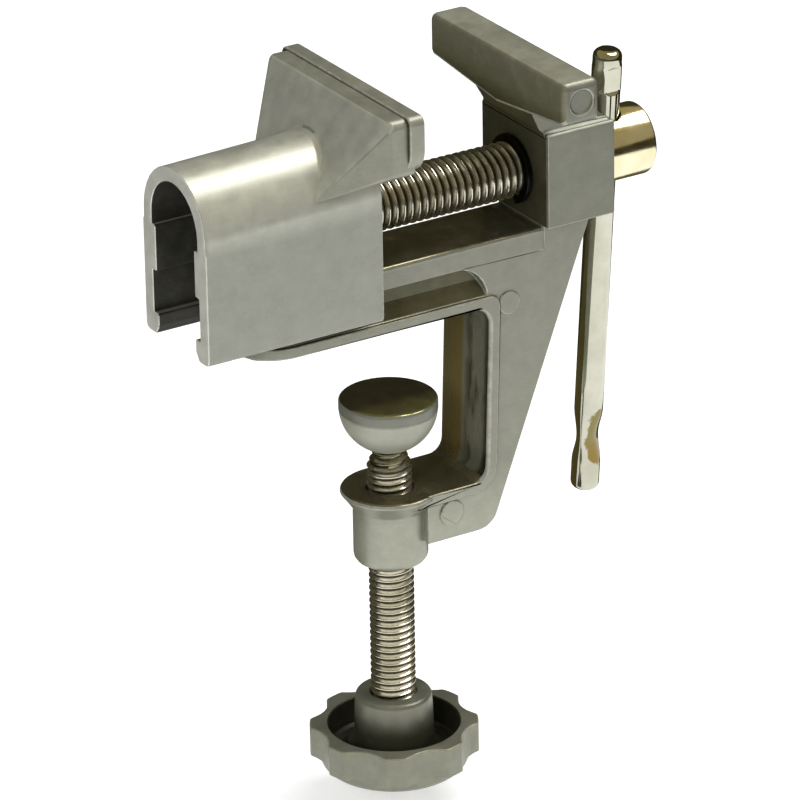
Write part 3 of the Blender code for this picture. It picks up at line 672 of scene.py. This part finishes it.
def jawFinish(spot, normal):
    # The open end is a machined face painted bright as if lit, the hollow under the arch gets painted shade,
    # the arch and walls a painted highlight, the plate's back painted light and the seam's ledge painted
    # shade
    j = jawForm
    if normal.x < -j["facing"] and spot.x < j["housingEnd"]:
        return j["groundLit"]
    housing = spot.x < j["housingRight"]
    inside = housing and abs(spot.y) < j["hollowHalf"] and spot.z < j["hollowTop"]
    if inside and (spot.y * normal.y < 0 or normal.z < -j["sloped"]):
        return j["housingShade"]
    if housing and math.hypot(spot.y, max(0, spot.z - j["wallTop"])) < j["archReach"]:
        return j["arch"]
    if within(spot.x, j["seamBand"]) and spot.z > j["hollowTop"]:
        return j["seam"]
    if normal.x < -j["sloped"] and (spot.x > j["plateLeft"] or within(abs(normal.y), j["gussetTurn"])):
        return j["plate"]
    return casting["grey"]


def upperWall(spot):
    return spot.x > jawForm["wallLeft"] and within(spot.z, jawForm["wallBand"])


movingJaw = copyNode("moving_jaw", "movingJaw")
sliceAt(movingJaw, jawForm["notchEnd"])
levelSides(movingJaw, jawForm["archHalf"], jawForm["wallHalf"], upperWall)
softenCasting(movingJaw, jawEdge, [castGrey, castWornLitEdge, castGroundLit, castHousingShade, castLitArch, castPlate,
                                   castShade])
finishFaces(movingJaw, jawFinish, casting["worn"])
dressPiece(movingJaw, [], "jaw", "cast_metal", "moving_jaw")

ring = {"edge": 0.12}
retainingRing = copyNode("retaining_ring", "retainingRing")
softenCasting(retainingRing, lambda edge, middle, side: ring["edge"], [springBlack])
dressPiece(retainingRing, [], "spindle", "spring_steel", "retaining_ring")


# Threads: one pitch drawn as (share along it, share of the depth), with spare turns that the cuts
# at both ends take off again

threadForm = {
    "depthShare": 0.6134, "spareTurns": 2, "lead": 1.5, "smoothAngle": 32,
    "profile": ((0.0, 0.0), (0.083, 0.0), (0.40, 0.90), (0.45, 1.0), (0.55, 1.0), (0.60, 0.90),
                (0.917, 0.0), (1.0, 0.0)),
}


def threadedRod(name, thread):
    # Right-hand thread along +Z between two flat ends
    pitch = thread["pitch"]
    crest = thread["diameter"] / 2
    root = crest - pitch * threadForm["depthShare"]
    rod = drawProfile(name, [(root + (crest - root) * rise, pitch * along)
                             for along, rise in threadForm["profile"]])
    turns = math.ceil((thread["top"] - thread["bottom"]) / pitch) + threadForm["spareTurns"]
    modify(rod, "ARRAY", count=turns, use_relative_offset=False, use_constant_offset=True,
           constant_offset_displace=(0, 0, pitch * mm), use_merge_vertices=True, merge_threshold=mergeReach)
    modify(rod, "SCREW", axis="Z", angle=2 * math.pi, screw_offset=pitch * mm, steps=thread["steps"],
           render_steps=thread["steps"], use_merge_vertices=True, merge_threshold=mergeReach)
    setDown(rod, (0, 0, 0), (0, 0, thread["bottom"] - threadForm["lead"] * pitch))
    closeUp(rod)
    for height, side in ((thread["bottom"], -1), (thread["top"], 1)):
        editAll(rod)
        bpy.ops.mesh.bisect(plane_co=(0, 0, height * mm), plane_no=(0, 0, side), clear_outer=True,
                            threshold=cutReach)
        bpy.ops.mesh.select_mode(type="EDGE")
        bpy.ops.mesh.select_all(action="DESELECT")
        bpy.ops.mesh.select_non_manifold()
        leaveEdit()
        for edge in rod.data.edges:
            if any(abs(rod.data.vertices[i].co.z - height * mm) > mergeReach for i in edge.vertices):
                edge.select = False
        bpy.ops.object.mode_set(mode="EDIT")
        bpy.ops.mesh.edge_face_add()
        bpy.ops.mesh.select_mode(type="VERT")
        leaveEdit()
    closeUp(rod)
    return rod


def narrowTip(obj, fromZ, toZ, share):
    # Draws the thread in towards one end
    for v in obj.data.vertices:
        along = (v.co.z / mm - fromZ) / (toZ - fromZ)
        if along > 0:
            scale = 1 - (1 - share) * min(along, 1.0)
            v.co.x *= scale
            v.co.y *= scale


# Main spindle, built along +Z from its threaded tip and then laid along +X

spindle = {
    "diameter": 10.0, "pitch": 1.5, "steps": 72, "bottom": -24.0, "top": 24.9, "height": 21.2, "tip": 1.0,
    "overlap": 0.3, "shankEdge": 0.35, "shankSteps": 96, "shoulderEdge": 0.15,
    "grooveRadius": 4.5, "ringLeft": 25.2, "ringThickness": 0.9, "ringSlack": 0.15,
    "headLeft": 40.6, "headRadius": 6.5, "headLength": 12.3, "headBevel": 0.4, "bevelSteps": 4,
    "headDome": 1.0, "domeBend": 1.5, "domeTurn": 68, "domeSteps": 5,
    "domeShares": (0.85, 0.7, 0.5, 0.25, 0.0),
    "crossX": 44.65, "crossHole": 2.83, "lean": -5.3, "holeHalf": 10, "holeSteps": 64,
    "holeEdge": 0.25, "holeAngle": 50, "holeSegments": 2, "rootShadeEnds": (4.15, 4.85), "brightFrom": 40.5,
}


def makeSpindle():
    s = spindle
    radius = s["diameter"] / 2
    rod = threadedRod("mainSpindle", s)
    for v in rod.data.vertices:
        reach = v.co.z - s["bottom"] * mm
        limit = radius * mm - max(0.0, s["tip"] * mm - reach)
        r = math.hypot(v.co.x, v.co.y)
        if r > limit:
            v.co.x *= limit / r
            v.co.y *= limit / r
    start = s["top"] - s["overlap"]
    left = s["ringLeft"] - s["ringSlack"]
    right = s["ringLeft"] + s["ringThickness"] + s["ringSlack"]
    groove = s["grooveRadius"]
    bevel = s["headBevel"]
    rim = s["headRadius"] - bevel
    shank = [
        (0, start), (groove - s["shankEdge"], start), (groove, left), (groove, right),
        (radius - s["shoulderEdge"], right), (radius, right + s["shoulderEdge"]),
        (radius, s["headLeft"]), (rim, s["headLeft"]),
    ]
    shank += arcOf((rim, s["headLeft"] + bevel), bevel, -90, 0, s["bevelSteps"])[1:]
    end = s["headLeft"] + s["headLength"]
    bend = bevel * s["domeBend"]
    shank += arcOf((s["headRadius"] - bend, end - s["headDome"] - bend), bend,
                   0, s["domeTurn"], s["domeSteps"])
    edge, top = shank[-1]
    shank += [(edge * share, end - (end - top) * share ** 2) for share in s["domeShares"]]
    body = turnedShape("shank", shank, s["shankSteps"])
    half = s["holeHalf"]
    hole = turnedShape("hole", [(0, -half), (s["crossHole"], -half), (s["crossHole"], half), (0, half)],
                       s["holeSteps"])
    setDown(hole, (0, 90, 0), (0, 0, s["crossX"]))
    setDown(hole, (0, 0, -s["lean"]))
    combine("DIFFERENCE", body, hole)
    modify(body, "BEVEL", width=s["holeEdge"] * mm, segments=s["holeSegments"], limit_method="ANGLE",
           angle_limit=math.radians(s["holeAngle"]), use_clamp_overlap=False)
    combine("UNION", rod, body)
    setDown(rod, (0, 90, 0), (0, 0, s["height"]))
    closeUp(rod)
    smoothOver(rod, threadForm["smoothAngle"])
    return rod


mainSpindle = makeSpindle()
spindleSteel = threadSteel("spindleSteel", threadLook, (0, 0, spindle["height"]), (0, 1, 1),
                           *spindle["rootShadeEnds"])
dressPiece(mainSpindle, [spindleSteel, headPlate], "spindle", "plated_steel", "main_spindle")
finishFaces(mainSpindle, lambda spot, normal: int(spot.x > spindle["brightFrom"]))


# Cross bar with its two pinched places

crossBar = {
    "radius": 2.58, "above": 18.6, "below": 68.3, "tip": 1.3, "tipSteps": 6, "steps": 64,
    "stations": 28, "smoothAngle": 30, "bruiseTurn": -61.0, "bruiseSize": (3.14, 3.14, 6.0),
    "pinches": (
        {"centre": 13.4, "turn": -90.0, "reach": 2.75, "squeeze": 0.5, "ends": 0.22, "spread": 0.1},
        {"centre": -57.5, "turn": -55.0, "reach": 5.6, "squeeze": 0.8, "ends": None, "spread": 0.3}),
}


def makeCrossBar():
    b = crossBar
    radius = b["radius"]
    tip = b["tip"]
    points = [(0, -b["below"])] + arcOf((radius - tip, -b["below"] + tip), tip, -90, 0, b["tipSteps"])
    for pinch in reversed(b["pinches"]):
        start = pinch["centre"] - pinch["reach"]
        points += [(radius, start + 2 * pinch["reach"] * i / b["stations"])
                   for i in range(b["stations"] + 1)]
    points += arcOf((radius - tip, b["above"] - tip), tip, 0, 90, b["tipSteps"]) + [(0, b["above"])]
    bar = turnedShape("crossBar", points, b["steps"])
    for v in bar.data.vertices:
        for pinch in b["pinches"]:
            away = abs(v.co.z / mm - pinch["centre"]) / pinch["reach"]
            if away >= 1:
                continue
            turn = math.radians(pinch["turn"])
            way = Vector((math.cos(turn), math.sin(turn), 0))
            side = Vector((-way.y, way.x, 0))
            across = v.co.dot(way)
            if pinch["ends"]:
                share = min(1.0, (1 - away) / pinch["ends"])
                flat = (radius - pinch["squeeze"] * share) * mm
                across = max(-flat, min(flat, across))
            else:
                share = 0.5 + 0.5 * math.cos(math.pi * away)
                across *= 1 - pinch["squeeze"] * share / radius
            along = v.co.dot(side) * (1 + pinch["spread"] * share / radius)
            v.co = way * across + side * along + Vector((0, 0, v.co.z))
    setDown(bar, (-spindle["lean"], 0, 0), (spindle["crossX"], 0, spindle["height"]))
    smoothOver(bar, b["smoothAngle"])
    return bar


def bruisePlace():
    # Where the lower pinch was pressed, on the bar's surface
    lean = math.radians(spindle["lean"])
    turn = math.radians(crossBar["bruiseTurn"])
    along = crossBar["pinches"][1]["centre"]
    return (spindle["crossX"] + crossBar["radius"] * math.cos(turn),
            along * math.sin(lean) + crossBar["radius"] * math.sin(turn),
            spindle["height"] + along * math.cos(lean))


nickel = bruisedPlate("nickelPlate", barLook, bruisePlace(), crossBar["bruiseSize"])
dressPiece(makeCrossBar(), [nickel], "cross_bar", "plated_steel", "cross_bar")


# Clamp screw, pad and knob

clampScrew = {
    "diameter": 8.0, "pitch": 1.25, "steps": 64, "bottom": -82.8, "top": -25.5,
    "tipShare": 0.7, "taper": 3.0, "overlap": 0.5, "neckRadius": 2.1,
    "ballZ": -22.1, "ballRadius": 3.1, "ballTurn": 88, "ballSteps": 14, "ballSides": 48,
    "rootShadeEnds": (3.22, 3.5), "brightFrom": -27.9,
}


def makeClampScrew():
    c = clampScrew
    rod = threadedRod("clampScrew", c)
    narrowTip(rod, c["top"] - c["taper"], c["top"], c["tipShare"])
    start = c["top"] - c["overlap"]
    neck = math.degrees(math.acos(c["neckRadius"] / c["ballRadius"]))
    ball = [(0, start), (c["neckRadius"], start)]
    ball += arcOf((0, c["ballZ"]), c["ballRadius"], -neck, c["ballTurn"], c["ballSteps"])
    ball.append((0, c["ballZ"] + c["ballRadius"]))
    combine("UNION", rod, turnedShape("ball", ball, c["ballSides"]))
    closeUp(rod)
    smoothOver(rod, threadForm["smoothAngle"])
    return rod


clampSteel = threadSteel("clampSteel", threadLook, (0, 0, 0), (1, 1, 0), *clampScrew["rootShadeEnds"])
tipPlate = platedMetal("screwTipPlate", threadLook)
screwPiece = makeClampScrew()
dressPiece(screwPiece, [clampSteel, tipPlate], "clamp", "plated_steel", "clamp_screw")
finishFaces(screwPiece, lambda spot, normal: int(spot.z > clampScrew["brightFrom"]))

pad = {
    "top": -15.4, "radius": 8.7, "thickness": 2.3, "plugRadius": 5.0, "plug": 1.0, "gap": 0.05,
    "footEdge": 0.12, "footSteps": 3, "edge": 0.65, "edgeTurn": 72, "edgeSteps": 6,
    "crown": 0.15, "crownPower": 3, "flatShare": 0.7,
    "crownShares": (0.93, 0.85, 0.75, 0.62, 0.48, 0.3, 0.15, 0.0),
    "bowlRise": 0.7, "bowlSteps": 18, "lip": 0.25, "lipRise": 0.3, "neck": 3.1, "neckHole": 2.7,
    "socketRadius": 3.4, "socketSteps": 8, "ballZ": -22.1, "steps": 128, "smoothAngle": 35,
    "upright": 0.8, "topFrom": -16.3,
}


def makePadFace():
    p = pad
    bottom = p["top"] - p["thickness"]
    foot = p["footEdge"]
    edge = p["edge"]
    rim = p["top"] - p["crown"]
    points = [(0, bottom - p["plug"]), (p["plugRadius"], bottom - p["plug"]), (p["plugRadius"], bottom)]
    points += arcOf((p["radius"] - foot, bottom + foot), foot, -90, 0, p["footSteps"])
    points += arcOf((p["radius"] - edge, rim - edge), edge, 0, p["edgeTurn"], p["edgeSteps"])
    flat = p["radius"] - edge * p["flatShare"]
    points += [(flat * share, p["top"] - p["crown"] * share ** p["crownPower"])
               for share in p["crownShares"]]
    return turnedShape("clampPadFace", points, p["steps"])


def makePadCup():
    p = pad
    top = p["top"] - p["thickness"] - p["gap"]
    bowlZ = top + p["bowlRise"]
    low = -math.degrees(math.acos(p["neck"] / p["radius"]))
    high = -math.degrees(math.asin((p["bowlRise"] + p["lipRise"]) / p["radius"]))
    cupBottom = bowlZ + p["radius"] * math.sin(math.radians(low))
    socketLow = -math.degrees(math.acos(p["neckHole"] / p["socketRadius"]))
    seat = top - p["plug"] - p["gap"]
    points = [(p["neckHole"], cupBottom)]
    points += arcOf((0, bowlZ), p["radius"], low, high, p["bowlSteps"])
    points += [(p["radius"] - p["lip"], top), (p["plugRadius"] + p["gap"], top),
               (p["plugRadius"] + p["gap"], seat), (p["socketRadius"], seat)]
    points += arcOf((0, p["ballZ"]), p["socketRadius"], 0, socketLow, p["socketSteps"])
    points.append((p["neckHole"], cupBottom))
    return turnedShape("clampPadCup", points, p["steps"])


def padFinish(spot, normal):
    return int(normal.z > pad["upright"] and spot.z > pad["topFrom"])


for maker, node, mat in ((makePadFace, "clamp_pad_face", padDisc), (makePadCup, "clamp_pad_cup", padBowl)):
    piece = maker()
    smoothOver(piece, pad["smoothAngle"])
    dressPiece(piece, [mat, padTopLitShade], "pad", "pad_metal", node)
    finishFaces(piece, padFinish)

knob = {
    "top": -78.7, "height": 8.3, "radius": 13.2, "wall": 1.5, "floor": 2.9, "bottomRadius": 10.6,
    "edge": 0.5, "rimEdge": 0.3, "mouthEdge": 0.2, "rise": 0.6, "riseHeights": (0.0, 0.25, 0.6),
    "underTurn": -8, "underSteps": 10, "edgeSteps": 4, "flareSteps": 10, "steps": 256,
    "smoothAngle": 30, "still": 0.5,
    "hubTop": -72.6, "hubRadius": 6.8, "hubFlare": 3.0, "hubEdge": 0.9, "hubTurn": 15,
    "draft": 0.15, "draftDrop": 2.5, "flareOut": 0.3, "socket": 4.08, "socketDepth": 10.5,
    "lugs": 8, "lugRadius": 15.0, "lugHeight": 6.2, "lugTurn": 15.0, "lugFlat": 7.0, "lugPower": 2.2,
    "hollow": 1, "hub": 2, "worn": 3, "hollowEdge": 0.1, "floorClear": 1, "upright": 0.5,
    "wornDrop": 0.31, "wornReach": 0.4, "wornTurn": (0.1, 0.97),
}


def lobeRadius(angle):
    # Outline of the rim, a flat tip at each lug and a hollow curve between two
    step = 360 / knob["lugs"]
    away = abs((angle - knob["lugTurn"] + step / 2) % step - step / 2)
    t = max(0.0, (away - knob["lugFlat"]) / (step / 2 - knob["lugFlat"]))
    return knob["radius"] + (knob["lugRadius"] - knob["radius"]) * (1 - t) ** knob["lugPower"]


def makeKnob():
    k = knob
    top, radius = k["top"], k["radius"]
    hubTop, hubRadius, hubEdge = k["hubTop"], k["hubRadius"], k["hubEdge"]
    bottom = top - k["height"]
    floorZ = bottom + k["floor"]
    lugLow = top - k["lugHeight"]
    inner = radius - k["wall"]
    flare = k["hubFlare"]
    rim = k["rimEdge"]
    points = [(0, bottom)]
    for c, s in arcOf((0, 0), 1, -90, k["underTurn"], k["underSteps"]):
        points.append((k["bottomRadius"] + (radius - k["bottomRadius"]) * c,
                       lugLow + (lugLow - bottom) * s))
    points += [(radius, lugLow + z) for z in k["riseHeights"]] + [(radius, top - 2 * rim)]
    points += arcOf((radius - rim, top - rim), rim, 0, 90, k["edgeSteps"])
    points += [(inner + k["mouthEdge"], top), (inner, top - k["mouthEdge"]),
               (inner, floorZ + k["edge"]), (inner - k["edge"], floorZ)]
    points += arcOf((hubRadius + k["flareOut"] + flare, floorZ + flare), flare, 270, 180, k["flareSteps"])
    points += [(hubRadius + k["draft"], hubTop - k["draftDrop"]), (hubRadius, hubTop - hubEdge)]
    points += arcOf((hubRadius - hubEdge, hubTop - hubEdge), hubEdge, k["hubTurn"], 90, k["edgeSteps"])
    points += [(k["socket"] + k["mouthEdge"], hubTop), (k["socket"], hubTop - k["mouthEdge"]),
               (k["socket"], hubTop - k["socketDepth"]), (0, hubTop - k["socketDepth"])]
    obj = turnedShape("clampKnob", points, k["steps"])
    for v in obj.data.vertices:
        z = v.co.z / mm
        r = math.hypot(v.co.x, v.co.y) / mm
        if r < inner + k["still"] or z < lugLow - mergeReach / mm:
            continue
        rise = min(1.0, (z - lugLow) / k["rise"])
        swell = lobeRadius(math.degrees(math.atan2(v.co.y, v.co.x))) - radius
        share = (r + swell * math.sin(rise * math.pi / 2)) / r
        v.co.x *= share
        v.co.y *= share
    smoothOver(obj, k["smoothAngle"])
    return obj


def knobFinish(spot, normal):
    # The recess round the hub gets painted shade, the hub painted shade that deepens downwards, and the rim's
    # top outer edge a painted highlight standing for a worn line
    k = knob
    reach = math.hypot(spot.x, spot.y)
    out = spot.x * normal.x + spot.y * normal.y > 0
    inside = reach < k["radius"] - k["wall"] + k["hollowEdge"]
    if inside and spot.z > k["top"] - k["height"] + k["floorClear"]:
        onHub = reach < k["hubRadius"] + k["hubFlare"] and (out or normal.z > k["upright"])
        return k["hub"] if onHub else k["hollow"]
    edgeFrom = k["top"] - k["wornDrop"]
    if spot.z > edgeFrom and reach > k["radius"] - k["wornReach"] and within(normal.z, k["wornTurn"]):
        return k["worn"]
    return 0


clampKnob = makeKnob()
dressPiece(clampKnob, [knobGrey, knobRecessShade, knobHub, knobLitEdge], "clamp", "knob_plastic", "clamp_knob")
finishFaces(clampKnob, knobFinish)


# Floor, light and camera

studio = {
    "floorZ": -93.85, "floorSize": 6.0, "floorColour": (0.82, 0.82, 0.81), "floorRoughness": 0.9,
    "floorGlow": 0.42, "worldColour": (1.0, 1.0, 1.0), "worldAmbient": 0.38,
    "drapeRadius": 0.32, "drapeMiddle": -0.15, "drapeSides": 96, "drapeDepth": 0.2,
    "drapes": {
        "darkDrape": {"low": (-0.094, -0.094), "high": (0.054, 0.17), "colour": (0.04, 0.035, 0.016)},
        "goldDrape": {"low": (0.054, 0.17), "high": (0.42, 0.18), "colour": (0.36, 0.315, 0.20)}},
    "matColour": (0.10, 0.083, 0.032), "matFront": 0.03, "matLift": 0.001,
    "ceilingColour": (0.36, 0.295, 0.13), "ceilingZ": 0.95, "ceilingSize": 3.0,
}


def rayFactor(tree):
    # 1 for what the camera sees, straight or by reflection
    path = tree.nodes.new("ShaderNodeLightPath")
    seen = path.outputs["Is Camera Ray"]
    for ray in ("Is Glossy Ray", "Is Transmission Ray"):
        seen = addNode(tree, "Math", {0: seen, 1: path.outputs[ray]}, operation="MAXIMUM").outputs[0]
    return seen


def makeFloor():
    floor = addPlane("floor", studio["floorSize"], (0, 0, studio["floorZ"] * mm))
    mat, tree, shader, _ = nodeMaterial("paleFloor")
    glow = addNode(tree, "Math", {0: rayFactor(tree), 1: studio["floorGlow"]}, operation="MULTIPLY")
    feed(shader, {"Base Color": (*studio["floorColour"], 1.0), "Roughness": studio["floorRoughness"],
                  "Specular IOR Level": 0.0, "Emission Color": (1, 1, 1, 1),
                  "Emission Strength": glow.outputs[0]})
    floor.data.materials.append(mat)


def makeDrapes():
    # Dark cloth round the set, high behind it, and a gold one above it in front
    for name, drape in studio["drapes"].items():
        pickNothing()
        bpy.ops.mesh.primitive_cylinder_add(
            vertices=studio["drapeSides"], radius=studio["drapeRadius"], depth=studio["drapeDepth"],
            end_fill_type="NOTHING", location=(0, studio["drapeMiddle"], 0))
        cloth = bpy.context.object
        cloth.name = name
        applyPlace(cloth)
        for v in cloth.data.vertices:
            front, back = drape["high"] if v.co.z > 0 else drape["low"]
            share = (v.co.y - studio["drapeMiddle"]) / studio["drapeRadius"] / 2 + 0.5
            v.co.z = front + (back - front) * share
        hangCloth(cloth, name + "Cloth", drape["colour"])


def hangCloth(obj, name, colour):
    # Seen by the metal alone
    mat, _, shader, _ = nodeMaterial(name)
    feed(shader, {"Base Color": (0, 0, 0, 1), "Roughness": 1.0, "Specular IOR Level": 0.0,
                  "Emission Color": (*colour, 1.0), "Emission Strength": 1.0})
    obj.data.materials.append(mat)
    obj.visible_camera = False
    obj.visible_diffuse = False
    obj.visible_shadow = False


def makeCloths():
    # Dark mat on the floor behind, and a dim ceiling
    size = studio["drapeRadius"]
    matPlace = (0, studio["matFront"] + size / 2, studio["floorZ"] * mm + studio["matLift"])
    for name, colour, width, place in (
            ("darkMat", studio["matColour"], size, matPlace),
            ("ceiling", studio["ceilingColour"], studio["ceilingSize"], (0, 0, studio["ceilingZ"]))):
        hangCloth(addPlane(name, width, place), name + "Cloth", colour)


def makeWorld():
    world = bpy.data.worlds.new("softWhite")
    bpy.context.scene.world = world
    world.use_nodes = True
    tree = world.node_tree
    strength = addNode(tree, "MapRange", {"Value": rayFactor(tree), "To Min": studio["worldAmbient"],
                                          "To Max": 1.0})
    feed(tree.nodes["Background"], {"Color": (*studio["worldColour"], 1.0),
                                    "Strength": strength.outputs["Result"]})


# Each lamp looks at the origin
lamps = {
    "overhead": {"place": (0.41, -0.03, 0.75), "size": 0.5, "power": 4.5, "shine": True},
    "frontRight": {"place": (0.45, -0.75, 0.35), "size": 0.35, "power": 2.0, "shine": False},
    "frontLeft": {"place": (-0.8, -0.5, 0.45), "size": 0.5, "power": 5.5, "shine": False},
}


def makeLamps():
    for name, lamp in lamps.items():
        data = bpy.data.lights.new(name, "AREA")
        data.energy = lamp["power"]
        data.size = lamp["size"]
        obj = addObject(name, data)
        obj.location = lamp["place"]
        obj.visible_glossy = lamp["shine"]
        obj.rotation_euler = (-Vector(lamp["place"])).to_track_quat("-Z", "Y").to_euler()


shot = {"place": (-0.52008, -0.85920, 0.43835), "azimuth": -31.304, "elevation": 24.357, "roll": -1.015,
        "lens": 286.14, "sensor": 36.0, "near": 0.05, "far": 20}


def makeCamera():
    data = bpy.data.cameras.new("photoAngle")
    data.lens = shot["lens"]
    data.sensor_width = shot["sensor"]
    data.clip_start = shot["near"]
    data.clip_end = shot["far"]
    camera = addObject("photoAngle", data)
    turn = Matrix.Rotation(math.radians(shot["azimuth"]), 4, "Z")
    tilt = Matrix.Rotation(math.radians(90 - shot["elevation"]), 4, "X")
    roll = Matrix.Rotation(math.radians(shot["roll"]), 4, "Z")
    camera.matrix_world = Matrix.Translation(shot["place"]) @ turn @ tilt @ roll
    bpy.context.scene.camera = camera


makeFloor()
makeDrapes()
makeCloths()
makeWorld()
makeLamps()
makeCamera()
bpy.context.scene.view_settings.view_transform = "Standard"
print("studio made")
